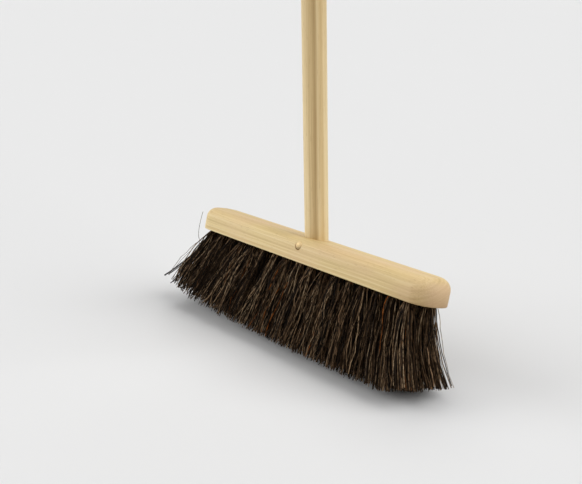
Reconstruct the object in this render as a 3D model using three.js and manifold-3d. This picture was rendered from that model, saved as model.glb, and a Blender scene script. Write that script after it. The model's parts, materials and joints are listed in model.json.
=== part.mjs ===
// Wide floor broom: a wooden stock set at an angle on a plain round handle, with three rows of stiff
// fibre tufts in its underside. Millimetres, +Z up, the stock's length along X and its front towards -Y.
// The handle stands upright, so the stock leans back and the broom stands on the tips of its back row.

import * as THREE from 'three';
import { mergeVertices } from 'three/addons/utils/BufferGeometryUtils.js';
import Module from 'manifold-3d';

const wasm = await Module();
wasm.setup();

// Stock
const STOCK_LENGTH = 400;
const STOCK_WIDTH = 54;
const STOCK_HEIGHT = 29;
const STOCK_CORNER_RADIUS = 24;
const STOCK_TOP_ROUND = 13;
const STOCK_LOWER_BEVEL = 1.5;
const CORNER_STEPS = 8;
const ROUND_STEPS = 5;

// Handle, and the wood left between its socket and the tuft holes
const HANDLE_DIAMETER = 28;
const HANDLE_LENGTH = 1400;
const HANDLE_CROWN = 9;
const HANDLE_ANGLE_DEGREES = 16;
const HANDLE_SIDES = 32;
const CROWN_STEPS = 5;
const SOCKET_FLOOR = 1.5;

// Tuft holes: short and long rows take turns, half a pitch along, with the short ones at both sides
const TUFT_ROWS = 3;
const LONG_ROW_TUFTS = 18;
const TUFT_END_MARGIN = 17;
const TUFT_SIDE_MARGIN = 10;
const TUFT_HOLE_DIAMETER = 9;
const TUFT_HOLE_DEPTH = 9;
const TUFT_SIDES = 8;

// Fibres: their free length, how far the outermost tips stand beyond their roots at the ends, at the sides
// and further still at the corners, and how uneven they are
const FIBRES_PER_TUFT = 8;
const FIBRE_SIDES = 3;
const FIBRE_LENGTH = 95;
const FIBRE_ROOT_THICKNESS = 2.2;
const FIBRE_TIP_THICKNESS = 2;
const FIBRE_END_SPLAY = 48;
const FIBRE_SIDE_SPLAY = 16.5;
const FIBRE_CORNER_SPLAY = 3;
const FIBRE_TIP_GAP = 1.2;
const FIBRE_UNEVENNESS = 4;
const FLOOR_TRIM = 0.5;

// Slice of the stock's underside that holds one row, and the rib of wood between two slices
const SLICE_THICKNESS = 2.5;
const SLICE_RIB = 5;
const SLICE_END_WALL = 2;

// Flat wire anchor through each folded tuft, with fibre folded over it
const ANCHOR_LENGTH = 10.8;
const ANCHOR_WIDTH = 2;
const ANCHOR_THICKNESS = 0.5;
const ANCHOR_COVER = 1.2;

// Round-head screw through the front of the stock into the handle, its head in a shallow seat
const SCREW_LENGTH = 30;
const SCREW_HEAD_DIAMETER = 10;
const SCREW_HEAD_HEIGHT = 3.6;
const SCREW_SHANK_DIAMETER = 5;
const SCREW_POINT_LENGTH = 5;
const SCREW_DROP = 10;
const SCREW_SINK = 2.2;
const SCREW_SLOT_WIDTH = 1.2;
const SCREW_SLOT_DEPTH = 1.2;
const SCREW_SIDES = 16;
const DOME_STEPS = 4;

const CLEARANCE = 0.3;

// Values that follow from the sizes above
const handleAngle = THREE.MathUtils.degToRad(HANDLE_ANGLE_DEGREES);
const handleRadius = HANDLE_DIAMETER / 2;
const socketDrop = STOCK_HEIGHT - TUFT_HOLE_DEPTH - SOCKET_FLOOR;
const socketDepth = (socketDrop - handleRadius * Math.sin(handleAngle)) / Math.cos(handleAngle);
const rowPitch = (STOCK_WIDTH - 2 * TUFT_SIDE_MARGIN) / (TUFT_ROWS - 1);
const tuftPitch = (STOCK_LENGTH - 2 * TUFT_END_MARGIN) / (LONG_ROW_TUFTS - 1);
const rootRadius = TUFT_HOLE_DIAMETER / 2 - CLEARANCE;
const rootEnd = tuftPitch * (LONG_ROW_TUFTS - 1) / 2;
const rootSide = rowPitch * (TUFT_ROWS - 1) / 2;

// The tips form the same grid as the roots, opened out until the cells of neighbouring tufts almost meet
const tipPitch = openedPitch(rootEnd + FIBRE_END_SPLAY, LONG_ROW_TUFTS);
const tipRowPitch = openedPitch(rootSide + FIBRE_SIDE_SPLAY, TUFT_ROWS);
const tipCellX = tipPitch / 2 - FIBRE_TIP_GAP;
const tipCellY = tipRowPitch / 2 - FIBRE_TIP_GAP;

const underside = -STOCK_HEIGHT;
const anchorTop = underside + TUFT_HOLE_DEPTH - CLEARANCE - ANCHOR_COVER;
const anchorLevel = anchorTop - CLEARANCE - ANCHOR_WIDTH / 2;

const headTilt = new THREE.Matrix4().makeRotationX(-handleAngle);
const headUpright = headTilt.clone().invert();

const wood = new THREE.MeshStandardMaterial({ color: 0xdcc496, roughness: 0.6, metalness: 0 });
const handleWood = new THREE.MeshStandardMaterial({ color: 0xd2b586, roughness: 0.55, metalness: 0 });
const fibre = new THREE.MeshStandardMaterial({ color: 0x2a211b, roughness: 0.75, metalness: 0 });
const wire = new THREE.MeshStandardMaterial({ color: 0xa9a9a6, roughness: 0.4, metalness: 1 });
const screwSteel = new THREE.MeshStandardMaterial({ color: 0xb49a62, roughness: 0.35, metalness: 1 });

// Pitch of the opened-out grid whose outermost tips stand at the given reach
function openedPitch(reach, count) {
  return 2 * (reach + FIBRE_TIP_GAP) / count;
}

// Closed mesh to solid and back
function toSolid(geometry) {
  const bare = geometry.index ? geometry.clone() : mergeVertices(geometry);
  bare.deleteAttribute('normal');
  bare.deleteAttribute('uv');
  const merged = mergeVertices(bare);
  const vertProperties = new Float32Array(merged.attributes.position.array);
  const triVerts = new Uint32Array(merged.index.array);
  return new wasm.Manifold(new wasm.Mesh({ numProp: 3, vertProperties, triVerts }));
}

function toGeometry(solid) {
  const mesh = solid.getMesh();
  const geometry = new THREE.BufferGeometry();
  geometry.setAttribute('position', new THREE.BufferAttribute(mesh.vertProperties, 3));
  geometry.setIndex(new THREE.BufferAttribute(mesh.triVerts, 1));
  geometry.computeVertexNormals();
  return geometry;
}

// Rings of equally many points, from the lowest to the highest, joined into one closed convex-ended body
function loft(rings) {
  const count = rings[0].length;
  const positions = rings.flat().flatMap((point) => [point.x, point.y, point.z]);
  const index = [];
  for (let level = 0; level < rings.length - 1; level++) {
    for (let i = 0; i < count; i++) {
      const a = level * count + i;
      const b = level * count + (i + 1) % count;
      index.push(a, b, b + count, a, b + count, a + count);
    }
  }
  const top = (rings.length - 1) * count;
  for (let i = 1; i < count - 1; i++) {
    index.push(0, i + 1, i);
    index.push(top, top + i, top + i + 1);
  }
  const geometry = new THREE.BufferGeometry();
  geometry.setAttribute('position', new THREE.Float32BufferAttribute(positions, 3));
  geometry.setIndex(index);
  return geometry;
}

// Upright bar with its lower end at the given height
function bar(radius, sides, low, high) {
  const geometry = new THREE.CylinderGeometry(radius, radius, high - low, sides);
  geometry.rotateX(Math.PI / 2);
  geometry.translate(0, 0, (low + high) / 2);
  return geometry;
}

function block(lengthX, lengthY, lengthZ, x, y, z) {
  return new THREE.BoxGeometry(lengthX, lengthY, lengthZ).translate(x, y, z);
}

// Outline of the stock in plan, drawn in from its full size by the given inset
function stockOutline(inset, z) {
  const radius = STOCK_CORNER_RADIUS - inset;
  const cornerX = STOCK_LENGTH / 2 - STOCK_CORNER_RADIUS;
  const cornerY = STOCK_WIDTH / 2 - STOCK_CORNER_RADIUS;
  const shape = new THREE.Shape();
  shape.absarc(cornerX, cornerY, radius, 0, Math.PI / 2);
  shape.absarc(-cornerX, cornerY, radius, Math.PI / 2, Math.PI);
  shape.absarc(-cornerX, -cornerY, radius, Math.PI, 1.5 * Math.PI);
  shape.absarc(cornerX, -cornerY, radius, 1.5 * Math.PI, 2 * Math.PI);
  const corners = shape.curves.filter((curve) => curve.isEllipseCurve);
  const points = corners.flatMap((corner) => corner.getPoints(CORNER_STEPS));
  return points.map((point) => new THREE.Vector3(point.x, point.y, z));
}

function stockBlock() {
  const round = Math.min(STOCK_TOP_ROUND, STOCK_CORNER_RADIUS - STOCK_LOWER_BEVEL);
  const rings = [
    stockOutline(STOCK_LOWER_BEVEL, underside),
    stockOutline(0, underside + STOCK_LOWER_BEVEL),
  ];
  for (let step = 0; step <= ROUND_STEPS; step++) {
    const turn = step / ROUND_STEPS * Math.PI / 2;
    rings.push(stockOutline(round * (1 - Math.cos(turn)), round * (Math.sin(turn) - 1)));
  }
  return loft(rings);
}

// Room for the handle in the stock, leaning as the handle does
function socketCutter() {
  const cutter = bar(handleRadius + CLEARANCE, HANDLE_SIDES, -socketDepth, STOCK_HEIGHT);
  return cutter.applyMatrix4(headUpright);
}

// Pole with a domed top, standing on its lower end
function handlePole() {
  const profile = [new THREE.Vector2(0, 0), new THREE.Vector2(handleRadius, 0)];
  for (let step = 0; step <= CROWN_STEPS; step++) {
    const turn = step / CROWN_STEPS * Math.PI / 2;
    const radius = step === CROWN_STEPS ? 0 : handleRadius * Math.cos(turn);
    profile.push(new THREE.Vector2(radius, HANDLE_LENGTH - HANDLE_CROWN * (1 - Math.sin(turn))));
  }
  return new THREE.LatheGeometry(profile, HANDLE_SIDES).rotateX(Math.PI / 2);
}

// Half section of the screw's shank, from its point to the underside of its head
function screwShank(margin) {
  const shank = SCREW_SHANK_DIAMETER / 2 + margin;
  return [
    new THREE.Vector2(0, -SCREW_LENGTH - margin),
    new THREE.Vector2(shank, SCREW_POINT_LENGTH - SCREW_LENGTH - margin),
    new THREE.Vector2(shank, -margin),
    new THREE.Vector2(SCREW_HEAD_DIAMETER / 2 + margin, -margin),
  ];
}

// Turned body that points into the stock from its front face
function turnedScrew(profile) {
  const geometry = new THREE.LatheGeometry(profile, SCREW_SIDES).rotateX(Math.PI);
  return geometry.translate(0, SCREW_SINK - STOCK_WIDTH / 2, -SCREW_DROP);
}

// Room for the screw, open to the front
function screwCutter() {
  const head = SCREW_HEAD_DIAMETER / 2 + CLEARANCE;
  const opening = [new THREE.Vector2(head, STOCK_TOP_ROUND), new THREE.Vector2(0, STOCK_TOP_ROUND)];
  return turnedScrew([...screwShank(CLEARANCE), ...opening]);
}

function handleScrew() {
  const dome = [];
  for (let step = 1; step <= DOME_STEPS; step++) {
    const turn = step / DOME_STEPS * Math.PI / 2;
    const radius = step === DOME_STEPS ? 0 : SCREW_HEAD_DIAMETER / 2 * Math.cos(turn);
    dome.push(new THREE.Vector2(radius, SCREW_HEAD_HEIGHT * Math.sin(turn)));
  }
  const slotY = SCREW_SINK - STOCK_WIDTH / 2 - SCREW_HEAD_HEIGHT;
  const slot = block(SCREW_HEAD_DIAMETER, 2 * SCREW_SLOT_DEPTH, SCREW_SLOT_WIDTH, 0, slotY, -SCREW_DROP);
  return toSolid(turnedScrew([...screwShank(0), ...dome])).subtract(toSolid(slot));
}

// Tuft places of one row, with the middle of the opened tuft at the tips
function tuftPlaces(row) {
  const count = row % 2 === 0 ? LONG_ROW_TUFTS - 1 : LONG_ROW_TUFTS;
  const across = row - (TUFT_ROWS - 1) / 2;
  return Array.from({ length: count }, (_, i) => {
    const along = i - (count - 1) / 2;
    const corner = (2 * along / (LONG_ROW_TUFTS - 1)) ** 2 * FIBRE_CORNER_SPLAY;
    return {
      along,
      root: new THREE.Vector2(along * tuftPitch, across * rowPitch),
      tip: new THREE.Vector2(along * tipPitch, across * (tipRowPitch + corner)),
    };
  });
}

// Corners of one fibre's cross-section, clockwise from above
function fibreRing(x, y, z, thickness, facing) {
  return Array.from({ length: FIBRE_SIDES }, (_, i) => {
    const turn = facing - i / FIBRE_SIDES * 2 * Math.PI;
    const radius = thickness / 2;
    return new THREE.Vector3(x + radius * Math.cos(turn), y + radius * Math.sin(turn), z);
  });
}

// One fibre of a tuft: number 0 stands in the middle, the others in a ring that opens towards the tips.
// The ring and its fibres are turned from tuft to tuft, and the two halves of a row mirror each other.
// A fibre that leans further out ends higher, because all have the same length but for the shortfall.
function fibreStrand(tuft, number, shortfall) {
  const mirror = Math.sign(tuft.along) || 1;
  const tuftShare = share(Math.abs(2 * tuft.along));
  const turn = Math.PI / 2 + mirror * (number + tuftShare) / (FIBRES_PER_TUFT - 1) * 2 * Math.PI;
  const facing = Math.PI / 2 + mirror * share(number + Math.abs(2 * tuft.along)) * 2 * Math.PI;
  const out = number === 0 ? 0 : 1;
  const rootRing = out * (rootRadius - FIBRE_ROOT_THICKNESS / 2);
  const rootX = tuft.root.x + rootRing * Math.cos(turn);
  const rootY = tuft.root.y + rootRing * Math.sin(turn);
  const tipX = tuft.tip.x + out * (tipCellX - FIBRE_TIP_THICKNESS / 2) * Math.cos(turn);
  const tipY = tuft.tip.y + out * (tipCellY - FIBRE_TIP_THICKNESS / 2) * Math.sin(turn);
  const drop = Math.sqrt(FIBRE_LENGTH ** 2 - (tipX - rootX) ** 2 - (tipY - rootY) ** 2);
  const tipHeight = underside - drop + shortfall;
  return {
    root: fibreRing(rootX, rootY, underside, FIBRE_ROOT_THICKNESS, facing),
    tip: fibreRing(tipX, tipY, tipHeight, FIBRE_TIP_THICKNESS, facing),
  };
}

// A slice of the underside with the fibres growing out of its lower face, as one closed body
function sliceWithFibres(row, strands) {
  const { halfLength, halfWidth, y } = sliceSize(row);
  const corners = [[-1, -1], [1, -1], [1, 1], [-1, 1]];
  const rim = (z) => corners.map(([sx, sy]) => new THREE.Vector3(sx * halfLength, y + sy * halfWidth, z));
  const roots = strands.map((strand) => strand.root);
  const lower = [rim(underside), ...roots].flat();
  const upperStart = lower.length;
  const tipStart = upperStart + corners.length;
  const points = [...lower, ...rim(underside + SLICE_THICKNESS), ...strands.flatMap((strand) => strand.tip)];
  const index = [];
  for (const [a, b, c] of THREE.ShapeUtils.triangulateShape(rim(underside), roots)) {
    index.push(a, c, b);
  }
  const upper = corners.map((_, i) => upperStart + i);
  index.push(upper[0], upper[1], upper[2], upper[0], upper[2], upper[3]);
  for (let i = 0; i < corners.length; i++) {
    const next = (i + 1) % corners.length;
    index.push(i, next, upper[next], i, upper[next], upper[i]);
  }
  strands.forEach((_, number) => {
    const root = corners.length + number * FIBRE_SIDES;
    const tip = tipStart + number * FIBRE_SIDES;
    for (let i = 0; i < FIBRE_SIDES; i++) {
      const next = (i + 1) % FIBRE_SIDES;
      index.push(root + i, root + next, tip + next, root + i, tip + next, tip + i);
    }
    for (let i = 1; i < FIBRE_SIDES - 1; i++) {
      index.push(tip, tip + i, tip + i + 1);
    }
  });
  const geometry = new THREE.BufferGeometry();
  geometry.setAttribute('position', new THREE.Float32BufferAttribute(points.flatMap((p) => p.toArray()), 3));
  geometry.setIndex(index);
  return geometry;
}

// Folded root of a tuft, with the opening that its anchor passes through
function tuftRoot(tuft) {
  const low = underside + SLICE_THICKNESS / 2;
  const root = bar(rootRadius, TUFT_SIDES, low, underside + TUFT_HOLE_DEPTH - CLEARANCE);
  root.translate(tuft.root.x, tuft.root.y, 0);
  return toSolid(root).subtract(toSolid(anchorBar(tuft, CLEARANCE)));
}

function anchorBar(tuft, margin) {
  const length = ANCHOR_LENGTH + 2 * margin;
  const thickness = ANCHOR_THICKNESS + 2 * margin;
  const width = ANCHOR_WIDTH + 2 * margin;
  return block(length, thickness, width, tuft.root.x, tuft.root.y, anchorLevel);
}

function tuftHole(tuft) {
  const hole = bar(TUFT_HOLE_DIAMETER / 2, TUFT_SIDES, underside - CLEARANCE, underside + TUFT_HOLE_DEPTH);
  return hole.translate(tuft.root.x, tuft.root.y, 0);
}

// Strip of the underside that holds one row, and the groove in the stock that takes it
function sliceSize(row) {
  const places = tuftPlaces(row);
  return {
    halfLength: places[places.length - 1].root.x + TUFT_HOLE_DIAMETER / 2 + SLICE_END_WALL,
    halfWidth: (rowPitch - SLICE_RIB) / 2,
    y: places[0].root.y,
  };
}

function sliceGroove(row) {
  const { halfLength, halfWidth, y } = sliceSize(row);
  const high = underside + SLICE_THICKNESS + CLEARANCE;
  const low = underside - CLEARANCE;
  const length = 2 * (halfLength + CLEARANCE);
  const width = 2 * (halfWidth + CLEARANCE);
  return block(length, width, high - low, 0, y, (low + high) / 2);
}

// The floor is level under the leaning stock. The fibres that would pass it end flat on it.
function cutAtFloor(strands) {
  const sine = Math.sin(handleAngle);
  const cosine = Math.cos(handleAngle);
  const height = (corner) => corner.z * cosine - corner.y * sine;
  const lowest = Math.min(...strands.flatMap((strand) => strand.tip.map(height)));
  const floor = lowest + FLOOR_TRIM;
  const passing = strands.filter((strand) => strand.tip.some((corner) => height(corner) < floor));
  for (const corner of passing.flatMap((strand) => strand.tip)) {
    corner.z = (floor + corner.y * sine) / cosine;
  }
}

// Even share between 0 and 1 that changes from fibre to fibre
function share(number) {
  const step = (Math.sqrt(5) - 1) / 2;
  return (number * step) % 1;
}

// One row: its slice of the underside, its folded roots and its fibres. The back row carries the broom,
// so its fibres keep their full length, and the lowest ones are cut level with the floor.
function fibreRow(row) {
  const isBackRow = row === TUFT_ROWS - 1;
  const unevenness = isBackRow ? 0 : FIBRE_UNEVENNESS;
  const places = tuftPlaces(row);
  const strands = places.flatMap((tuft, place) => Array.from({ length: FIBRES_PER_TUFT }, (_, number) => {
    const shortfall = unevenness * share(place * FIBRES_PER_TUFT + number);
    return fibreStrand(tuft, number, shortfall);
  }));
  if (isBackRow) {
    cutAtFloor(strands);
  }
  const slice = toSolid(sliceWithFibres(row, strands));
  return wasm.Manifold.union([slice, ...places.map(tuftRoot)]);
}

function stockSolid() {
  const cutters = [socketCutter(), screwCutter()];
  for (let row = 0; row < TUFT_ROWS; row++) {
    cutters.push(sliceGroove(row));
    for (const tuft of tuftPlaces(row)) {
      cutters.push(tuftHole(tuft), anchorBar(tuft, CLEARANCE));
    }
  }
  return toSolid(stockBlock()).subtract(wasm.Manifold.union(cutters.map(toSolid)));
}

// The handle stands a clearance above the socket's floor, and the screw's point goes into it
function handleSolid(seat) {
  const screwHole = screwCutter().applyMatrix4(headTilt).translate(0, 0, seat);
  return toSolid(handlePole()).subtract(toSolid(screwHole));
}

function addPiece(group, name, geometry, material) {
  const piece = new THREE.Mesh(geometry, material);
  piece.name = name;
  group.add(piece);
  return piece;
}

const broom = new THREE.Group();
const head = new THREE.Group();
head.rotation.x = -handleAngle;
broom.add(head);

addPiece(head, 'stock', toGeometry(stockSolid()), wood);
addPiece(head, 'handle_screw', toGeometry(handleScrew()), screwSteel);
const seat = socketDepth - CLEARANCE;
const handle = addPiece(broom, 'handle', toGeometry(handleSolid(seat)), handleWood);
handle.position.z = -seat;

for (let row = 0; row < TUFT_ROWS; row++) {
  const rowName = `row_${row + 1}`;
  addPiece(head, `fibre_${rowName}`, toGeometry(fibreRow(row)), fibre);
  tuftPlaces(row).forEach((tuft, place) => {
    const number = String(place + 1).padStart(2, '0');
    addPiece(head, `anchor_${rowName}_${number}`, anchorBar(tuft, 0), wire);
  });
}

// The origin is on the floor, in the middle of the broom's outline seen from above
const outline = new THREE.Box3().setFromObject(broom, true);
const middle = outline.getCenter(new THREE.Vector3());
broom.position.set(-middle.x, -middle.y, -outline.min.z);
broom.updateMatrixWorld(true);

const topFace = new THREE.Vector3(STOCK_LENGTH / 4, 0, 0).applyMatrix4(head.matrixWorld);
const topNormal = new THREE.Vector3(0, 0, 1).transformDirection(head.matrixWorld);
console.log('top face point', topFace.toArray(), 'outward', topNormal.toArray());
console.log('handle axis at', handle.getWorldPosition(new THREE.Vector3()).toArray());

export default broom;
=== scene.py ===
"""Looks of a wide floor broom: wooden stock and handle, handle screw and three rows of stiff plant fibre."""

import json
import math

import bmesh
import bpy
import numpy as np
from mathutils import Matrix, Vector


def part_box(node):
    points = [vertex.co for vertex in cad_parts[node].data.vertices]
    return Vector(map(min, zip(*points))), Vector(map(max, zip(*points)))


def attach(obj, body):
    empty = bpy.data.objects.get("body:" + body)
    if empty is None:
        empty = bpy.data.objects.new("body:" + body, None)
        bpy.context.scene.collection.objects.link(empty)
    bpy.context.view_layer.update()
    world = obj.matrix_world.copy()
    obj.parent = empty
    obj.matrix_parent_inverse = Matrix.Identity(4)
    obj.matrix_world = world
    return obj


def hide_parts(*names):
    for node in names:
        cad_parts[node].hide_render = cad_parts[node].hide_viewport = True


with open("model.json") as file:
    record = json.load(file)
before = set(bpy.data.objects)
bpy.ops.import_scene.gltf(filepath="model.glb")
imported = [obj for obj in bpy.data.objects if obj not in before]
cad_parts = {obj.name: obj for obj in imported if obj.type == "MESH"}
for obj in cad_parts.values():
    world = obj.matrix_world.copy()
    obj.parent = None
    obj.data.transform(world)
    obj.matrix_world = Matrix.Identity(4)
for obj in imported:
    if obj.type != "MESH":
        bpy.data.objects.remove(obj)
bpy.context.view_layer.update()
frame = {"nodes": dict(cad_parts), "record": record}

MM = 0.001

# Stock
STOCK_LENGTH = 400 * MM
STOCK_WIDTH = 54 * MM
STOCK_HEIGHT = 29 * MM
STOCK_CORNER_RADIUS = 24 * MM
STOCK_TOP_ROUND = 13 * MM
STOCK_LOWER_BEVEL = 1.5 * MM
STOCK_EDGE_LOOP = 0.5 * MM
CORNER_STEPS = 28
ROUND_STEPS = 18
BEVEL_STEPS = 4
SHARP_DEGREES = 35

# Handle and its socket in the stock
HANDLE_RADIUS = 14 * MM
HANDLE_CROWN = 9 * MM
HANDLE_SIDES = 96
# The handle is turned by the camera's own turn, so that the painted shade and light in its layer tones face
# the camera
HANDLE_GRAIN_AND_SHADE_TURN = math.radians(50.7)
CROWN_STEPS = 14
SOCKET_GAP = 0.15 * MM

# Tuft holes: short and long rows take turns, with the short ones at both sides
TUFT_ROWS = 3
LONG_ROW_TUFTS = 18
TUFT_END_MARGIN = 17 * MM
TUFT_SIDE_MARGIN = 10 * MM
TUFT_HOLE_RADIUS = 4.5 * MM
TUFT_HOLE_DEPTH = 9 * MM
TUFT_HOLE_SIDES = 24

# Fibres: how many, how long and how thick
FIBRE_SEED = 41
FIBRES_PER_TUFT = 100
FIBRE_SIDES = 4
FIBRE_SEGMENTS = 12
FIBRE_LENGTH = 95 * MM
FIBRE_ROOT_DEPTH = 6 * MM
FIBRE_THICKNESS = (0.8 * MM, 1.6 * MM)
FIBRE_FLATNESS = (0.55, 0.9)
FIBRE_TIP_SHARE = 0.8
FIBRE_SHARP_DEGREES = 60
ROOT_CROWDING = 1.7
FLOOR_GAP = 0.4 * MM
MAP_MARGIN = 0.06

# Where the tips go: a splay to all sides, a sweep to the left, and a later, calmer bend at the right end
FIBRE_END_SPLAY = 45 * MM
FIBRE_SIDE_SPLAY = 16.5 * MM
FIBRE_TIP_GAP = 1.2 * MM
FIBRE_SWEEP = -12 * MM
FIBRE_END_FLARE = 6 * MM
FIBRE_END_LATENESS = 1.2
FIBRE_END_CALM = 0.6
RIGHT_END_POWER = 3
FIBRE_TIP_JITTER = 7 * MM
JITTER_LIMIT = 1.6
DISC_JITTER = 0.3
FIBRE_CLUMPS = 16
FIBRE_CLUMPING = 0.15

# Uneven lengths, and shorter fibres where both ends are worn
LEFT_WEAR = 6 * MM
RIGHT_WEAR = 13 * MM
WORN_FROM = 0.85
FIBRE_UNEVENNESS = 6 * MM
UNEVEN_POWER = 3
UNEVEN_SHIFT = 0.8

# Bends along each fibre
FIBRE_BELL = (0.45, 1.0)
FIBRE_SWELL = 1.8 * MM
SWELL_POWER = 0.15
FIBRE_BOW = 2.2 * MM
CLUMP_BOW_SHARE = 0.3
OWN_BOW_SHARE = 0.9
FIBRE_WAVE = 1.8 * MM
WILD_SHARE = 0.08
WILD_BOW = 2
RIPPLE_SEED = 161
FIBRE_RIPPLE = 0.8 * MM
RIPPLE_COUNT = (2.0, 4.0)

# Shade of each fibre, 0 dark to 1 pale
SHADE_SPREAD = (0.75, 1.5)
THIN_SHADE = 1.25
THICK_SHADE = 0.75
CLUMP_SHADE = 0.04

# Loose fibres of the middle row's left end: start, bend and tip in the stock's frame, thickness (mm), shade
LOOSE_ROW = 1
LOOSE_FIBRES = [
    ((-184, 0, -24), (-208, -19, -71), (-237, -40, -106), 1.9, 0.0),
    ((-183, -1, -24), (-208, -19, -73), (-235, -40, -106), 1.7, 0.0),
    ((-185, 1, -24), (-207, -19, -74), (-230, -38, -103), 1.5, 0.02),
    ((-185, -1, -24), (-207, -16, -80), (-226, -35, -114), 1.8, 0.02),
    ((-184, 2, -24), (-232, -8, -85), (-220, -8, -12), 0.7, 0.6),
]

# Round-head screw in a shallow seat in the front of the stock
SCREW_LENGTH = 30 * MM
SCREW_HEAD_RADIUS = 5 * MM
SCREW_HEAD_HEIGHT = 3.6 * MM
SCREW_SHANK_RADIUS = 2.5 * MM
SCREW_POINT_LENGTH = 5 * MM
SCREW_DROP = 10 * MM
SCREW_SINK = 2.2 * MM
SCREW_SLOT_WIDTH = 1.2 * MM
SCREW_SLOT_DEPTH = 1.2 * MM
SCREW_GAP = 0.3 * MM
SCREW_SIDES = 48
DOME_STEPS = 10

# Floor, camera and light
FLOOR_SIZE = 60.0
FLOOR_COLOUR = (0.77, 0.77, 0.77, 1)
CAMERA_FROM_HEAD = Vector((0.79334, -0.68850, 0.32700))
CAMERA_TURN = math.radians(50.70)
CAMERA_PITCH = math.radians(17.47)
CAMERA_ROLL = math.radians(1.18)
CAMERA_REACH = 200.0
PHOTO_WIDTH = 582
FOCAL_PIXELS = 935.0
SENSOR_WIDTH = 36.0
WORLD_LEVEL = 0.815
LAMP_SPREAD = math.radians(50)

# Lamps: strength, then degrees from the camera's side, positive to its right, and degrees above the floor
LAMPS = {
    "left_box": (1.57, -98, 23),
    "right_box": (2.17, 67, 41),
    "back_box": (1.08, 173, 57),
    "front_box": (0.59, -45, 45),
}

# The stock's own frame: its top face, with the handle's axis through the origin
top_mount = next(mount for mount in frame["record"]["mounts"] if mount["name"] == "stock_top")
handle_low, handle_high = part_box("handle")
handle_middle = (handle_low + handle_high) / 2
head_lean = math.atan2(top_mount["axis"][1], top_mount["axis"][2])
head_origin = Vector((handle_middle.x, top_mount["pos_m"][1], top_mount["pos_m"][2]))
head_place = Matrix.Translation(head_origin) @ Matrix.Rotation(-head_lean, 4, "X")

# Places that follow from the sizes, in the stock's frame
row_pitch = (STOCK_WIDTH - 2 * TUFT_SIDE_MARGIN) / (TUFT_ROWS - 1)
tuft_pitch = (STOCK_LENGTH - 2 * TUFT_END_MARGIN) / (LONG_ROW_TUFTS - 1)
root_end = tuft_pitch * (LONG_ROW_TUFTS - 1) / 2
root_side = row_pitch * (TUFT_ROWS - 1) / 2
tip_pitch = 2 * (root_end + FIBRE_END_SPLAY + FIBRE_TIP_GAP) / LONG_ROW_TUFTS
tip_row_pitch = 2 * (root_side + FIBRE_SIDE_SPLAY + FIBRE_TIP_GAP) / TUFT_ROWS
tip_cell = np.array([tip_pitch / 2 - FIBRE_TIP_GAP, tip_row_pitch / 2 - FIBRE_TIP_GAP])
strand_shares = np.linspace(0, 1, FIBRE_SEGMENTS + 1)[:, None] ** ROOT_CROWDING
socket_low = handle_low.z - head_origin.z - SOCKET_GAP
screw_seat = Matrix.Translation((0, SCREW_SINK - STOCK_WIDTH / 2, -SCREW_DROP))
screw_place = screw_seat @ Matrix.Rotation(math.pi / 2, 4, "X")


def srgb(red, green, blue):
    """Linear colour of a colour written as it shows on screen, 0 to 255."""
    shares = (channel / 255 for channel in (red, green, blue))
    return (*(s / 12.92 if s <= 0.04045 else ((s + 0.055) / 1.055) ** 2.4 for s in shares), 1)


WHITE = srgb(255, 255, 255)

# Finish of the stock. Each grain is in noise counts per metre along X, Y and Z.
STOCK_DRIFT_GRAIN = (5, 22, 22)
STOCK_STREAK_GRAIN = (14, 900, 900)
STOCK_FLECK_GRAIN = (170, 1300, 1300)
STOCK_PATCH_GRAIN = (9, 24, 24)
STOCK_PATCH_SHIFT = (2.3, 0, 0)
STOCK_PORE_GRAIN = (60, 1500, 1500)
ACROSS_GRAIN = (0, 1, 1)
HEART_SHIFT = (0, -50 * MM, 120 * MM)
RING_WAVER = 6 * MM
RINGS_PER_METRE = 420
RING_TONES = [
    (0.28, srgb(219, 193, 137)),
    (0.5, srgb(234, 210, 154)),
    (0.72, srgb(242, 221, 170)),
]
WARM_RANGE = (0.42, 0.66)
WARM_SHARE = 0.55
WARM_TONE = srgb(235, 204, 162)
RIGHT_TINT = srgb(240, 237, 232)
# Painted shade: faces that look up are darker, the more so towards the left end
SHADED_TOP_FACING = (0.5, 0.95)
TOP_SHADE_TINT = srgb(226, 222, 214)
STOCK_STREAK_TONES = [(0.3, srgb(236, 230, 222)), (0.62, WHITE)]
STOCK_STREAK_SHARE = 0.8
FLECK_RANGE = (0.63, 0.74)
FLECK_SHARE = 0.4
FLECK_TONE = srgb(176, 138, 96)
END_FACING = (0.55, 0.92)
END_SHARE = 0.75
END_TONES = [(0.3, srgb(196, 160, 122)), (0.7, srgb(222, 192, 154))]
# Painted shade: the lower part of the stock towards its right end is darkened
END_SHADE_ALONG = (0.34 * STOCK_LENGTH, 0.46 * STOCK_LENGTH)
END_SHADE_DOWN = (-0.4 * STOCK_HEIGHT, -STOCK_HEIGHT)
END_SHADE_TINT = srgb(214, 206, 200)
STOCK_ROUGHNESS = (0.62, 0.48)
STOCK_BUMP = 0.12 * MM
STOCK_BUMP_STRENGTH = 0.6
STOCK_SPECULAR = 0.35

# Finish of the handle, which is a little darker where hands go
HANDLE_WANDER_GRAIN = (60, 60, 2.2)
HANDLE_STREAK_GRAIN = (800, 800, 6)
HANDLE_DASH_GRAIN = (1200, 1200, 70)
LAYER_WANDER = 7 * MM
LAYER_AND_LIGHT_PALE = srgb(243, 221, 173)
LAYER_AND_SHADE_TAN = srgb(232, 205, 152)
LAYER_AND_SHADE_DARK = srgb(208, 178, 126)
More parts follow.
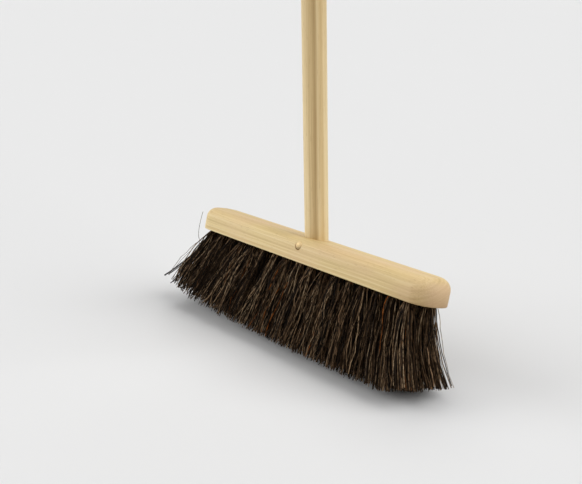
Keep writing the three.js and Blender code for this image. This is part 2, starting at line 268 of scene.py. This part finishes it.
# Tones across the handle from left to right, partly growth layers and partly painted light and shade: pale
# lit edges, a dark shaded band down the middle and a darker dip right of it
LAYER_AND_SHADE_TONES = [
    (0.0, LAYER_AND_LIGHT_PALE),
    (0.3, LAYER_AND_SHADE_TAN),
    (0.45, LAYER_AND_SHADE_DARK),
    (0.5, LAYER_AND_SHADE_DARK),
    (0.62, LAYER_AND_LIGHT_PALE),
    (0.72, LAYER_AND_SHADE_TAN),
    (0.8, LAYER_AND_SHADE_TAN),
    (0.88, LAYER_AND_LIGHT_PALE),
]
HANDLED_HEIGHT = (50 * MM, 300 * MM)
HANDLED_TINT = srgb(238, 235, 230)
HANDLE_STREAK_TONES = [(0.3, srgb(228, 220, 208)), (0.65, WHITE)]
HANDLE_STREAK_SHARE = 0.85
DASH_RANGE = (0.64, 0.76)
DASH_SHARE = 0.35
DASH_TONE = srgb(170, 128, 84)
HANDLE_ROUGHNESS = (0.56, 0.42)
HANDLE_BUMP = 0.1 * MM
HANDLE_BUMP_STRENGTH = 0.5
HANDLE_SPECULAR = 0.4

# Both woods: fine streaks rise, and flecks and dashes lie a little deeper
STREAK_RANGE = (0.25, 0.75)
FLECK_HEIGHT = -0.8

# Finish of the fibre
FIBRE_GRAIN = (420, 420, 60)
FIBRE_TONES = [
    (0.0, srgb(14, 9, 6)),
    (0.35, srgb(70, 51, 33)),
    (0.65, srgb(149, 122, 93)),
    (0.92, srgb(190, 166, 135)),
    (1.0, srgb(166, 96, 42)),
]
FIBRE_GRAIN_TONES = [(0.34, srgb(92, 86, 80)), (0.6, WHITE)]
FIBRE_GRAIN_RANGE = (0.3, 0.7)
FIBRE_ROUGHNESS = (0.5, 0.7)
FIBRE_BUMP = 0.08 * MM
FIBRE_BUMP_STRENGTH = 0.5
FIBRE_SPECULAR = 0.05

# Finish of the metals: dull and bright tone, roughness of the bright and the dull
METAL_MARK_GRAIN = (300, 4000, 4000)
METAL_STAIN_GRAIN = (500, 500, 500)
METAL_TONE_STOPS = (0.35, 0.65)
METAL_TONE_RANGE = (0.3, 0.7)
METAL_BUMP = 0.03 * MM
METAL_BUMP_STRENGTH = 0.5
SCREW_FINISH = (srgb(178, 156, 116), srgb(206, 184, 142), 0.5, 0.66)
WIRE_FINISH = (srgb(120, 120, 118), srgb(186, 186, 182), 0.3, 0.5)


# Meshes


def add_object(name, mesh, place):
    made = bpy.data.objects.new(name, mesh)
    bpy.context.scene.collection.objects.link(made)
    made.matrix_world = place
    return made


def mesh_from(made, name):
    """Mesh of a bmesh, which is freed."""
    mesh = bpy.data.meshes.new(name)
    made.to_mesh(mesh)
    made.free()
    return mesh


def loft(name, rings):
    """Closed mesh through rings of equally many points, from the lowest to the highest."""
    count = len(rings[0])
    points = [point for ring in rings for point in ring]
    faces = [list(reversed(range(count)))]
    for level in range(len(rings) - 1):
        low, high = level * count, (level + 1) * count
        for i in range(count):
            after = (i + 1) % count
            faces.append([low + i, low + after, high + after, high + i])
    last = (len(rings) - 1) * count
    faces.append([last + i for i in range(count)])
    mesh = bpy.data.meshes.new(name)
    mesh.from_pydata(points, [], faces)
    return mesh


def lathe(name, profile, sides):
    """Closed mesh of a profile of (radius, height) turned about Z. A radius of 0 closes an end."""
    made = bmesh.new()
    rings = []
    for radius, height in profile:
        if radius == 0:
            rings.append([made.verts.new((0, 0, height))])
            continue
        turns = (2 * math.pi * i / sides for i in range(sides))
        rings.append([made.verts.new((radius * math.cos(t), radius * math.sin(t), height)) for t in turns])
    for low, high in zip(rings, rings[1:]):
        for i in range(sides):
            after = (i + 1) % sides
            if len(low) == 1:
                made.faces.new((low[0], high[after], high[i]))
            elif len(high) == 1:
                made.faces.new((low[i], low[after], high[0]))
            else:
                made.faces.new((low[i], low[after], high[after], high[i]))
    if len(rings[0]) > 1:
        made.faces.new(list(reversed(rings[0])))
    if len(rings[-1]) > 1:
        made.faces.new(rings[-1])
    return mesh_from(made, name)


def join_meshes(name, meshes):
    made = bmesh.new()
    for mesh in meshes:
        made.from_mesh(mesh)
        bpy.data.meshes.remove(mesh)
    return mesh_from(made, name)


def box_mesh(name, size, middle):
    made = bmesh.new()
    bmesh.ops.create_cube(made, size=1, matrix=Matrix.Translation(middle) @ Matrix.Diagonal((*size, 1)))
    return mesh_from(made, name)


def bar_mesh(radius, sides, low, high):
    return lathe("bar", [(radius, low), (radius, high)], sides)


def quarter_turns(steps):
    """Angles of a quarter turn, from 0, in equal steps."""
    return [step / steps * math.pi / 2 for step in range(steps + 1)]


def dome_profile(radius, base, height, steps):
    """Half section of a dome from above its rim, at the base, to its top."""
    turns = quarter_turns(steps)[1:-1]
    flank = [(radius * math.cos(turn), base + height * math.sin(turn)) for turn in turns]
    return flank + [(0, base + height)]


def cut(piece, cutter_mesh):
    """Takes the cutter, in the piece's own frame, out of the piece."""
    cutter = add_object("cutter", cutter_mesh, piece.matrix_world)
    modifier = piece.modifiers.new("cut", "BOOLEAN")
    modifier.operation = "DIFFERENCE"
    modifier.solver = "EXACT"
    modifier.object = cutter
    bpy.context.view_layer.update()
    evaluated = piece.evaluated_get(bpy.context.evaluated_depsgraph_get())
    cut_mesh = bpy.data.meshes.new_from_object(evaluated)
    piece.modifiers.clear()
    old = piece.data
    piece.data = cut_mesh
    cut_mesh.name = piece.name
    bpy.data.meshes.remove(old)
    bpy.data.objects.remove(cutter)
    bpy.data.meshes.remove(cutter_mesh)


def smooth(mesh, sharp_degrees=SHARP_DEGREES):
    mesh.shade_smooth()
    mesh.set_sharp_from_angle(angle=math.radians(sharp_degrees))


# Materials


class Finish:
    """Node tree of one material, with short calls for the nodes that the finishes share."""

    MIX_FACTOR, MIX_A, MIX_B, MIX_RESULT = 0, 6, 7, 2

    def __init__(self, name):
        self.material = bpy.data.materials.new(name)
        self.material.use_nodes = True
        self.tree = self.material.node_tree
        self.shader = self.tree.nodes["Principled BSDF"]
        coordinates = self.tree.nodes.new("ShaderNodeTexCoord")
        self.place = coordinates.outputs["Object"]
        self.normal = coordinates.outputs["Normal"]

    def feed(self, socket, value):
        if isinstance(value, bpy.types.NodeSocket):
            self.tree.links.new(value, socket)
        else:
            socket.default_value = value

    def node(self, kind, inputs, **settings):
        made = self.tree.nodes.new(kind)
        for key, value in settings.items():
            setattr(made, key, value)
        for key, value in inputs.items():
            self.feed(made.inputs[key], value)
        return made

    def surface(self, **inputs):
        """Feeds the shader: a socket is linked, and a plain value is set on the shader itself."""
        for key, value in inputs.items():
            self.feed(self.shader.inputs[key.replace("_", " ")], value)

    def stretched(self, scale, location=(0, 0, 0)):
        inputs = {"Vector": self.place, "Scale": scale, "Location": location}
        return self.node("ShaderNodeMapping", inputs).outputs["Vector"]

    def noise(self, vector, detail=2.0, roughness=0.5):
        inputs = {"Vector": vector, "Scale": 1.0, "Detail": detail, "Roughness": roughness}
        return self.node("ShaderNodeTexNoise", inputs).outputs["Fac"]

    def layers(self, distance, detail):
        inputs = {"W": distance, "Scale": 1.0, "Detail": detail}
        return self.node("ShaderNodeTexNoise", inputs, noise_dimensions="1D").outputs["Fac"]

    def length(self, vector):
        made = self.node("ShaderNodeVectorMath", {"Vector": vector}, operation="LENGTH")
        return made.outputs["Value"]

    def math(self, operation, a, b=0.0):
        return self.node("ShaderNodeMath", {0: a, 1: b}, operation=operation).outputs["Value"]

    def spread(self, value, low, high, to_low=0.0, to_high=1.0):
        inputs = {"Value": value, "From Min": low, "From Max": high, "To Min": to_low, "To Max": to_high}
        return self.node("ShaderNodeMapRange", inputs, clamp=True).outputs["Result"]

    def ramp(self, value, stops):
        made = self.node("ShaderNodeValToRGB", {"Fac": value})
        elements = made.color_ramp.elements
        while len(elements) < len(stops):
            elements.new(0.5)
        for element, (position, colour) in zip(elements, stops):
            element.position = position
            element.color = colour
        return made.outputs["Color"]

    def mix(self, factor, a, b, blend="MIX"):
        inputs = {self.MIX_FACTOR: factor, self.MIX_A: a, self.MIX_B: b}
        made = self.node("ShaderNodeMix", inputs, data_type="RGBA", blend_type=blend)
        return made.outputs[self.MIX_RESULT]

    def tinted(self, share, colour, tint):
        """Colour times a tint over a share of the surface."""
        return self.mix(share, colour, self.mix(1.0, colour, tint, "MULTIPLY"))

    def split(self, vector):
        return self.node("ShaderNodeSeparateXYZ", {"Vector": vector}).outputs

    def attribute(self, name):
        return self.node("ShaderNodeAttribute", {}, attribute_name=name).outputs["Fac"]

    def bump(self, height, distance, strength):
        inputs = {"Height": height, "Distance": distance, "Strength": strength}
        return self.node("ShaderNodeBump", inputs).outputs["Normal"]


def stock_wood():
    """Pale close-grained hardwood with its grain along X and end grain at both ends."""
    wood = Finish("stock_wood")
    axes = wood.split(wood.place)
    facing = wood.split(wood.normal)
    along = wood.spread(axes["X"], -0.5 * STOCK_LENGTH, 0.5 * STOCK_LENGTH)

    drift = wood.noise(wood.stretched(STOCK_DRIFT_GRAIN))
    radius = wood.length(wood.stretched(ACROSS_GRAIN, HEART_SHIFT))
    wavy_radius = wood.math("ADD", radius, wood.math("MULTIPLY", drift, RING_WAVER))
    rings = wood.layers(wood.math("MULTIPLY", wavy_radius, RINGS_PER_METRE), detail=2.5)
    colour = wood.ramp(rings, RING_TONES)

    patches = wood.noise(wood.stretched(STOCK_PATCH_GRAIN, STOCK_PATCH_SHIFT))
    colour = wood.mix(wood.spread(patches, *WARM_RANGE, 0.0, WARM_SHARE), colour, WARM_TONE)
    colour = wood.tinted(along, colour, RIGHT_TINT)
    # Painted shade on the faces that look up, stronger towards the left end
    painted_top_shade = wood.math("MULTIPLY", wood.spread(facing["Z"], *SHADED_TOP_FACING), wood.math("SUBTRACT", 1.0, along))
    colour = wood.tinted(painted_top_shade, colour, TOP_SHADE_TINT)

    streaks = wood.noise(wood.stretched(STOCK_STREAK_GRAIN), detail=3, roughness=0.6)
    colour = wood.mix(STOCK_STREAK_SHARE, colour, wood.ramp(streaks, STOCK_STREAK_TONES), "MULTIPLY")
    flecks = wood.noise(wood.stretched(STOCK_FLECK_GRAIN), detail=1)
    fleck_share = wood.spread(flecks, *FLECK_RANGE, 0.0, FLECK_SHARE)
    colour = wood.mix(fleck_share, colour, FLECK_TONE)

    end_share = wood.spread(wood.math("ABSOLUTE", facing["X"]), *END_FACING)
    pores = wood.noise(wood.stretched(STOCK_PORE_GRAIN), roughness=0.7)
    colour = wood.mix(wood.math("MULTIPLY", end_share, END_SHARE), colour, wood.ramp(pores, END_TONES))

    # Painted shade darkens the lower part of the stock towards its right end
    near_end = wood.spread(axes["X"], *END_SHADE_ALONG)
    painted_end_shade = wood.math("MULTIPLY", near_end, wood.spread(axes["Z"], *END_SHADE_DOWN))
    colour = wood.tinted(painted_end_shade, colour, END_SHADE_TINT)

    height = wood.math("ADD", streaks, wood.math("MULTIPLY", fleck_share, FLECK_HEIGHT))
    wood.surface(
        Base_Color=colour,
        Roughness=wood.spread(streaks, *STREAK_RANGE, *STOCK_ROUGHNESS),
        Normal=wood.bump(height, STOCK_BUMP, STOCK_BUMP_STRENGTH),
        Specular_IOR_Level=STOCK_SPECULAR,
    )
    return wood.material


def handle_wood():
    """Turned pale softwood: growth layers across X with painted shade and light in them, long streaks along
    Z.
    """
    wood = Finish("handle_wood")
    axes = wood.split(wood.place)

    wander = wood.math("SUBTRACT", wood.noise(wood.stretched(HANDLE_WANDER_GRAIN)), 0.5)
    shifted = wood.math("ADD", axes["X"], wood.math("MULTIPLY", wander, LAYER_WANDER))
    # The layer ramp across X paints pale lit edges and a shaded middle band along with the growth layers
    colour = wood.ramp(wood.spread(shifted, -HANDLE_RADIUS, HANDLE_RADIUS), LAYER_AND_SHADE_TONES)
    colour = wood.tinted(wood.spread(axes["Z"], *HANDLED_HEIGHT), colour, HANDLED_TINT)

    streaks = wood.noise(wood.stretched(HANDLE_STREAK_GRAIN), detail=3, roughness=0.6)
    colour = wood.mix(HANDLE_STREAK_SHARE, colour, wood.ramp(streaks, HANDLE_STREAK_TONES), "MULTIPLY")
    dashes = wood.noise(wood.stretched(HANDLE_DASH_GRAIN), detail=1)
    dash_share = wood.spread(dashes, *DASH_RANGE, 0.0, DASH_SHARE)
    colour = wood.mix(dash_share, colour, DASH_TONE)

    height = wood.math("ADD", streaks, wood.math("MULTIPLY", dash_share, FLECK_HEIGHT))
    wood.surface(
        Base_Color=colour,
        Roughness=wood.spread(streaks, *STREAK_RANGE, *HANDLE_ROUGHNESS),
        Normal=wood.bump(height, HANDLE_BUMP, HANDLE_BUMP_STRENGTH),
        Specular_IOR_Level=HANDLE_SPECULAR,
    )
    return wood.material


def plant_fibre():
    """Dark brown plant fibre: every strand has its own shade, with paler and redder ones among them."""
    fibre = Finish("plant_fibre")
    grain = fibre.noise(fibre.stretched(FIBRE_GRAIN))
    colour = fibre.ramp(fibre.attribute("strand_shade"), FIBRE_TONES)
    colour = fibre.mix(1.0, colour, fibre.ramp(grain, FIBRE_GRAIN_TONES), "MULTIPLY")
    fibre.surface(
        Base_Color=colour,
        Roughness=fibre.spread(grain, *FIBRE_GRAIN_RANGE, *FIBRE_ROUGHNESS),
        Normal=fibre.bump(grain, FIBRE_BUMP, FIBRE_BUMP_STRENGTH),
        Specular_IOR_Level=FIBRE_SPECULAR,
    )
    return fibre.material


def metal(name, dull, bright, bright_roughness, dull_roughness):
    """Metal with fine drawing marks and faint stains."""
    finish = Finish(name)
    marks = finish.noise(finish.stretched(METAL_MARK_GRAIN))
    stains = finish.noise(finish.stretched(METAL_STAIN_GRAIN), detail=3)
    tone = finish.math("MULTIPLY", finish.math("ADD", marks, stains), 0.5)
    finish.surface(
        Base_Color=finish.ramp(tone, list(zip(METAL_TONE_STOPS, (dull, bright)))),
        Roughness=finish.spread(tone, *METAL_TONE_RANGE, dull_roughness, bright_roughness),
        Normal=finish.bump(marks, METAL_BUMP, METAL_BUMP_STRENGTH),
        Metallic=1.0,
    )
    return finish.material


# Stock, handle and screw


def finish_piece(piece, material, slot, *nodes):
    piece.data.materials.clear()
    piece.data.materials.append(material)
    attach(piece, "root")
    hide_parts(*nodes)


def stock_ring(inset, height):
    """Outline of the stock in plan, drawn in from its full size."""
    radius = STOCK_CORNER_RADIUS - inset
    corner_x = STOCK_LENGTH / 2 - STOCK_CORNER_RADIUS
    corner_y = STOCK_WIDTH / 2 - STOCK_CORNER_RADIUS
    points = []
    for quarter, (side_x, side_y) in enumerate([(1, 1), (-1, 1), (-1, -1), (1, -1)]):
        for step in range(CORNER_STEPS + 1):
            turn = (quarter + step / CORNER_STEPS) * math.pi / 2
            x = side_x * corner_x + radius * math.cos(turn)
            y = side_y * corner_y + radius * math.sin(turn)
            points.append((x, y, height))
    return points


def stock_rings():
    """Rings from the underside to the top, with a close loop beside each edge to keep flat faces flat."""
    rings = [stock_ring(STOCK_LOWER_BEVEL + STOCK_EDGE_LOOP, -STOCK_HEIGHT)]
    for turn in quarter_turns(BEVEL_STEPS):
        inset = STOCK_LOWER_BEVEL * (1 - math.sin(turn))
        rings.append(stock_ring(inset, -STOCK_HEIGHT + STOCK_LOWER_BEVEL * (1 - math.cos(turn))))
    rings.append(stock_ring(0, -STOCK_HEIGHT + STOCK_LOWER_BEVEL + STOCK_EDGE_LOOP))
    rings.append(stock_ring(0, -STOCK_TOP_ROUND - STOCK_EDGE_LOOP))
    for turn in quarter_turns(ROUND_STEPS):
        inset = STOCK_TOP_ROUND * (1 - math.cos(turn))
        rings.append(stock_ring(inset, STOCK_TOP_ROUND * (math.sin(turn) - 1)))
    rings.append(stock_ring(STOCK_TOP_ROUND + STOCK_EDGE_LOOP, 0))
    return rings


def tuft_places(row):
    """(root, middle of its tips) of each tuft of a row, in the stock's plan."""
    count = LONG_ROW_TUFTS - 1 + row % 2
    across = row - (TUFT_ROWS - 1) / 2
    places = []
    for i in range(count):
        along = i - (count - 1) / 2
        root = Vector((along * tuft_pitch, across * row_pitch))
        tip = Vector((along * tip_pitch, across * tip_row_pitch))
        places.append((root, tip))
    return places


def shank_profile(gap):
    """Half section of the screw from its point to the underside of its head, head upwards."""
    shank = SCREW_SHANK_RADIUS + gap
    return [
        (0, -SCREW_LENGTH - gap),
        (shank, SCREW_POINT_LENGTH - SCREW_LENGTH - gap),
        (shank, -gap),
        (SCREW_HEAD_RADIUS + gap, -gap),
    ]


def make_stock(material):
    stock = add_object("broom_stock", loft("broom_stock", stock_rings()), head_place)
    socket = bar_mesh(HANDLE_RADIUS + SOCKET_GAP, HANDLE_SIDES, socket_low, STOCK_HEIGHT)
    socket.transform(Matrix.Rotation(head_lean, 4, "X"))
    hole_profile = shank_profile(SCREW_GAP) + [(SCREW_HEAD_RADIUS + SCREW_GAP, STOCK_TOP_ROUND)]
    screw_hole = lathe("screw_hole", hole_profile, SCREW_SIDES)
    screw_hole.transform(screw_place)
    cut(stock, join_meshes("cutter", [socket, screw_hole]))
    low, high = -STOCK_HEIGHT - TUFT_HOLE_DEPTH, -STOCK_HEIGHT + TUFT_HOLE_DEPTH
    holes = []
    for row in range(TUFT_ROWS):
        for root, _ in tuft_places(row):
            hole = bar_mesh(TUFT_HOLE_RADIUS, TUFT_HOLE_SIDES, low, high)
            hole.transform(Matrix.Translation((root.x, root.y, 0)))
            holes.append(hole)
    cut(stock, join_meshes("cutter", holes))
    smooth(stock.data)
    finish_piece(stock, material, "stock_wood", "stock")


def make_handle(material):
    rim = handle_high.z - handle_low.z - HANDLE_CROWN
    profile = [(HANDLE_RADIUS, 0), (HANDLE_RADIUS, rim)]
    profile += dome_profile(HANDLE_RADIUS, rim, HANDLE_CROWN, CROWN_STEPS)
    foot = Matrix.Translation((handle_middle.x, handle_middle.y, handle_low.z))
    place = foot @ Matrix.Rotation(HANDLE_GRAIN_AND_SHADE_TURN, 4, "Z")
    handle = add_object("broom_handle", lathe("broom_handle", profile, HANDLE_SIDES), place)
    smooth(handle.data)
    finish_piece(handle, material, "handle_wood", "handle")


def make_screw(material):
    dome = dome_profile(SCREW_HEAD_RADIUS, 0, SCREW_HEAD_HEIGHT, DOME_STEPS)
    mesh = lathe("broom_screw", shank_profile(0) + dome, SCREW_SIDES)
    screw = add_object("broom_screw", mesh, head_place @ screw_place)
    slot_size = (2 * SCREW_HEAD_RADIUS, SCREW_SLOT_WIDTH, 2 * SCREW_SLOT_DEPTH)
    cut(screw, box_mesh("slot", slot_size, (0, 0, SCREW_HEAD_HEIGHT)))
    smooth(screw.data)
    finish_piece(screw, material, "screw_steel", "handle_screw")


# Fibres


def strand_points(root, tip, bends):
    """Middle line of one strand, from inside its hole to its tip, in the stock's frame.

    Each bend is a way across and how much of it the strand has gone aside by each of its points.
    """
    line = root + (tip - root) * strand_shares
    for aside, amounts in bends:
        line[:, :2] += aside * amounts
    lead = root - (line[1] - root) / np.linalg.norm(line[1] - root) * FIBRE_ROOT_DEPTH
    return np.vstack([lead, line])


def disc_places(count, rng):
    """Evenly spread places in a unit disc, each a little off its place."""
    numbers = np.arange(count)
    golden_turn = math.pi * (3 - math.sqrt(5))
    turns = numbers * golden_turn + rng.uniform(0, 2 * np.pi)
    reach = np.sqrt((numbers + 0.5) / count)
    places = np.column_stack([np.cos(turns), np.sin(turns)]) * reach[:, None]
    return places + rng.normal(0, DISC_JITTER / math.sqrt(count), (count, 2))


def tuft_habit(root, tip):
    """What a tuft's place gives its strands: lean, lateness of the lean, calmness and wear."""
    end_share = root.x / root_end
    right_end = max(0, end_share) ** RIGHT_END_POWER
    lean = np.array(tip - root) + (FIBRE_SWEEP + FIBRE_END_FLARE * right_end, 0)
    late = 1 + FIBRE_END_LATENESS * right_end
    calm = 1 - FIBRE_END_CALM * right_end
    worn_share = max(0, abs(end_share) - WORN_FROM) / (1 - WORN_FROM)
    wear = worn_share * (RIGHT_WEAR if end_share > 0 else LEFT_WEAR)
    return lean, late, calm, wear


def tuft_strands(root, tip, rng, ripple_rng):
    """Middle line, thickness and shade of every strand of a tuft, in the stock's frame."""
    lean, late, calm, wear = tuft_habit(root, tip)
    disc = disc_places(FIBRES_PER_TUFT, rng)
    clumps = disc_places(FIBRE_CLUMPS, rng)
    nearest = np.argmin(((disc[:, None] - clumps[None]) ** 2).sum(2), axis=1)
    opened = disc + (clumps[nearest] - disc) * FIBRE_CLUMPING
    inner = disc * (TUFT_HOLE_RADIUS - FIBRE_THICKNESS[1] / 2)
    jitter = np.clip(rng.normal(0, 1, disc.shape), -JITTER_LIMIT, JITTER_LIMIT)
    outer = opened * tip_cell + jitter * FIBRE_TIP_JITTER
    clump_shades = rng.normal(0, CLUMP_SHADE, FIBRE_CLUMPS)
    clump_bows = rng.normal(0, FIBRE_BOW, (FIBRE_CLUMPS, 2))
    strands = []
    for near, far, clump in zip(inner, outer, nearest):
        wild = WILD_BOW if rng.uniform() < WILD_SHARE else 1.0
        own_bow = rng.normal(0, OWN_BOW_SHARE * wild * FIBRE_BOW, 2)
        bow = calm * (CLUMP_BOW_SHARE * clump_bows[clump] + own_bow)
        wave = rng.normal(0, calm * FIBRE_WAVE * wild, 2)
        short = wear + FIBRE_UNEVENNESS * (rng.uniform() ** UNEVEN_POWER - UNEVEN_SHIFT)
        start = np.array(root) + near
        end = np.array(root) + lean + far
        drop = math.sqrt(FIBRE_LENGTH ** 2 - np.sum((end - start) ** 2)) - short
        first = np.array([*start, -STOCK_HEIGHT])
        last = np.array([*end, -STOCK_HEIGHT - drop])
        thick = rng.uniform(*FIBRE_THICKNESS)
        paleness = np.interp(thick, FIBRE_THICKNESS, (THIN_SHADE, THICK_SHADE))
        shade = np.clip(rng.beta(*SHADE_SPREAD) * paleness + clump_shades[clump], 0, 1)
        bell = rng.uniform(*FIBRE_BELL)
        swell = near / TUFT_HOLE_RADIUS * rng.exponential(FIBRE_SWELL)
        ripple = calm * ripple_rng.normal(0, FIBRE_RIPPLE, 2)
        ripples = ripple_rng.uniform(*RIPPLE_COUNT)
        bends = [
            (far - near, strand_shares ** bell - strand_shares),
            (lean, strand_shares ** late - strand_shares),
            (swell, strand_shares ** SWELL_POWER * (1 - strand_shares)),
            (bow, np.sin(np.pi * strand_shares)),
            (wave, np.sin(2 * np.pi * strand_shares)),
            (ripple, np.sin(2 * np.pi * ripples * strand_shares)),
        ]
        strands.append((strand_points(first, last, bends), thick, shade))
    return strands


def loose_strands():
    """Middle line, thickness and shade of the loose fibres, in the stock's frame."""
    shares = np.linspace(0, 1, FIBRE_SEGMENTS + 2)[:, None]
    strands = []
    for start, bend, tip, thick, shade in LOOSE_FIBRES:
        low, middle, high = np.array([start, bend, tip]) * MM
        line = (1 - shares) ** 2 * low + 2 * shares * (1 - shares) * middle + shares ** 2 * high
        strands.append((line, thick * MM, shade))
    return strands


def row_strands(row, rng):
    """Middle line, thickness and shade of every strand of a row, in the stock's frame."""
    ripple_rng = np.random.default_rng(RIPPLE_SEED + row)
    strands = []
    for root, tip in tuft_places(row):
        strands += tuft_strands(root, tip, rng, ripple_rng)
    return strands + (loose_strands() if row == LOOSE_ROW else [])


def stop_at_floor(points):
    """Middle line drawn in towards its start so that it ends above the floor, in the CAD frame."""
    low = points[:, 2].min()
    if low >= FLOOR_GAP:
        return points
    start = points[0]
    share = (start[2] - FLOOR_GAP) / (start[2] - low)
    return start + (points - start) * share


def strand_faces(steps):
    """Faces of one strand, as point numbers, and their corners' places in the strand's map cell."""
    faces, cells = [], []
    for i in range(FIBRE_SIDES):
        low, high = i * steps, (i + 1) % FIBRE_SIDES * steps
        left, right = i / FIBRE_SIDES, (i + 1) / FIBRE_SIDES
        for k in range(steps - 1):
            near, far = k / (steps - 1), (k + 1) / (steps - 1)
            faces.append((low + k, high + k, high + k + 1, low + k + 1))
            cells += [(left, near), (right, near), (right, far), (left, far)]
    ring = [i * steps for i in range(FIBRE_SIDES)]
    faces.append(ring[::-1])
    cells += [(1 - i / FIBRE_SIDES, 0) for i in range(FIBRE_SIDES)]
    faces.append([i + steps - 1 for i in ring])
    cells += [(i / FIBRE_SIDES, 1) for i in range(FIBRE_SIDES)]
    return faces, MAP_MARGIN + np.array(cells) * (1 - 2 * MAP_MARGIN)


def strand_skin(line, thick, rng):
    """Points of a tapered, slightly flat tube along a middle line, side by side."""
    ahead = np.gradient(line, axis=0)
    ahead /= np.linalg.norm(ahead, axis=1)[:, None]
    facing = rng.uniform(0, np.pi)
    across = np.cross(ahead, (math.cos(facing), math.sin(facing), 0.0))
    across /= np.linalg.norm(across, axis=1)[:, None]
    over = np.cross(across, ahead) * rng.uniform(*FIBRE_FLATNESS)
    radius = (np.linspace(1, FIBRE_TIP_SHARE, len(line)) * thick / 2)[:, None]
    turns = [2 * np.pi * i / FIBRE_SIDES for i in range(FIBRE_SIDES)]
    return [line + radius * (across * math.cos(turn) + over * math.sin(turn)) for turn in turns]


def strand_mesh(name, strands, rng):
    """Tubes along middle lines, with each strand's shade and its own map cell."""
    steps = FIBRE_SEGMENTS + 2
    own_faces, own_cells = strand_faces(steps)
    map_side = math.ceil(math.sqrt(len(strands)))
    points, faces, shades, cells = [], [], [], []
    for number, (line, thick, shade) in enumerate(strands):
        first = number * steps * FIBRE_SIDES
        points += strand_skin(line, thick, rng)
        faces += [[first + i for i in face] for face in own_faces]
        cells.append((own_cells + (number % map_side, number // map_side)) / map_side)
        shades += [shade] * (steps * FIBRE_SIDES)
    mesh = bpy.data.meshes.new(name)
    mesh.from_pydata(np.vstack(points), [], faces)
    shade_values = mesh.attributes.new("strand_shade", "FLOAT", "POINT").data
    shade_values.foreach_set("value", np.array(shades, np.float32))
    map_corners = mesh.uv_layers.new(name="OFBake").data
    map_corners.foreach_set("uv", np.vstack(cells).astype(np.float32).ravel())
    smooth(mesh, FIBRE_SHARP_DEGREES)
    return mesh


def make_bristles(material):
    place = np.array(head_place)
    for row in range(TUFT_ROWS):
        rng = np.random.default_rng(FIBRE_SEED + row)
        strands = []
        for line, thick, shade in row_strands(row, rng):
            placed = line @ place[:3, :3].T + place[:3, 3]
            strands.append((stop_at_floor(placed), thick, shade))
        name = f"bristles_row_{row + 1}"
        bristles = add_object(name, strand_mesh(name, strands, rng), Matrix.Identity(4))
        finish_piece(bristles, material, "fibre", f"fibre_row_{row + 1}")


def dress_anchors(material):
    """Gives the CAD nodes of the tuft anchors their finish."""
    for name, node in frame["nodes"].items():
        if name.startswith("anchor_"):
            node.data.materials.clear()
            node.data.materials.append(material)


# Stage: pale floor, soft light, camera


def make_floor():
    half = FLOOR_SIZE / 2
    corners = [(-half, -half, 0), (half, -half, 0), (half, half, 0), (-half, half, 0)]
    mesh = bpy.data.meshes.new("floor")
    mesh.from_pydata(corners, [], [(0, 1, 2, 3)])
    finish = Finish("floor")
    finish.surface(Base_Color=FLOOR_COLOUR, Roughness=1.0, Specular_IOR_Level=0.0)
    mesh.materials.append(finish.material)
    floor = add_object("floor", mesh, Matrix.Identity(4))


def add_sun(name, strength, side_degrees, rise_degrees):
    """Soft distant light."""
    data = bpy.data.lights.new(name, "SUN")
    data.energy = strength
    data.angle = LAMP_SPREAD
    azimuth = CAMERA_TURN + math.radians(side_degrees)
    elevation = math.radians(rise_degrees)
    toward = Vector((
        math.sin(azimuth) * math.cos(elevation),
        -math.cos(azimuth) * math.cos(elevation),
        math.sin(elevation),
    ))
    lamp = bpy.data.objects.new(name, data)
    bpy.context.scene.collection.objects.link(lamp)
    lamp.rotation_mode = "QUATERNION"
    lamp.rotation_quaternion = toward.to_track_quat("Z", "Y")


def pale_world():
    """Background that the camera, reflections and glass see, and that lights nothing else."""
    world = bpy.data.worlds.new("studio")
    world.use_nodes = True
    nodes, links = world.node_tree.nodes, world.node_tree.links
    light_path = nodes.new("ShaderNodeLightPath")
    seen = light_path.outputs["Is Camera Ray"]
    for ray in ("Is Glossy Ray", "Is Transmission Ray"):
        either = nodes.new("ShaderNodeMath")
        either.operation = "MAXIMUM"
        links.new(seen, either.inputs[0])
        links.new(light_path.outputs[ray], either.inputs[1])
        seen = either.outputs["Value"]
    strength = nodes.new("ShaderNodeMath")
    strength.operation = "MULTIPLY"
    strength.inputs[1].default_value = WORLD_LEVEL
    links.new(seen, strength.inputs[0])
    background = nodes["Background"]
    background.inputs["Color"].default_value = WHITE
    links.new(strength.outputs["Value"], background.inputs["Strength"])
    return world


def make_camera():
    data = bpy.data.cameras.new("camera")
    data.sensor_width = SENSOR_WIDTH
    data.lens = FOCAL_PIXELS * SENSOR_WIDTH / PHOTO_WIDTH
    data.clip_end = CAMERA_REACH
    place = (
        Matrix.Translation(head_origin + CAMERA_FROM_HEAD)
        @ Matrix.Rotation(CAMERA_TURN, 4, "Z")
        @ Matrix.Rotation(math.pi / 2 - CAMERA_PITCH, 4, "X")
        @ Matrix.Rotation(-CAMERA_ROLL, 4, "Z")
    )
    return add_object("camera", data, place)


make_stock(stock_wood())
make_handle(handle_wood())
make_screw(metal("screw_steel", *SCREW_FINISH))
make_bristles(plant_fibre())
dress_anchors(metal("anchor_wire", *WIRE_FINISH))

make_floor()
for lamp_name, settings in LAMPS.items():
    add_sun(lamp_name, *settings)
bpy.context.scene.world = pale_world()
bpy.context.scene.camera = make_camera()
bpy.context.scene.view_settings.view_transform = "Standard"
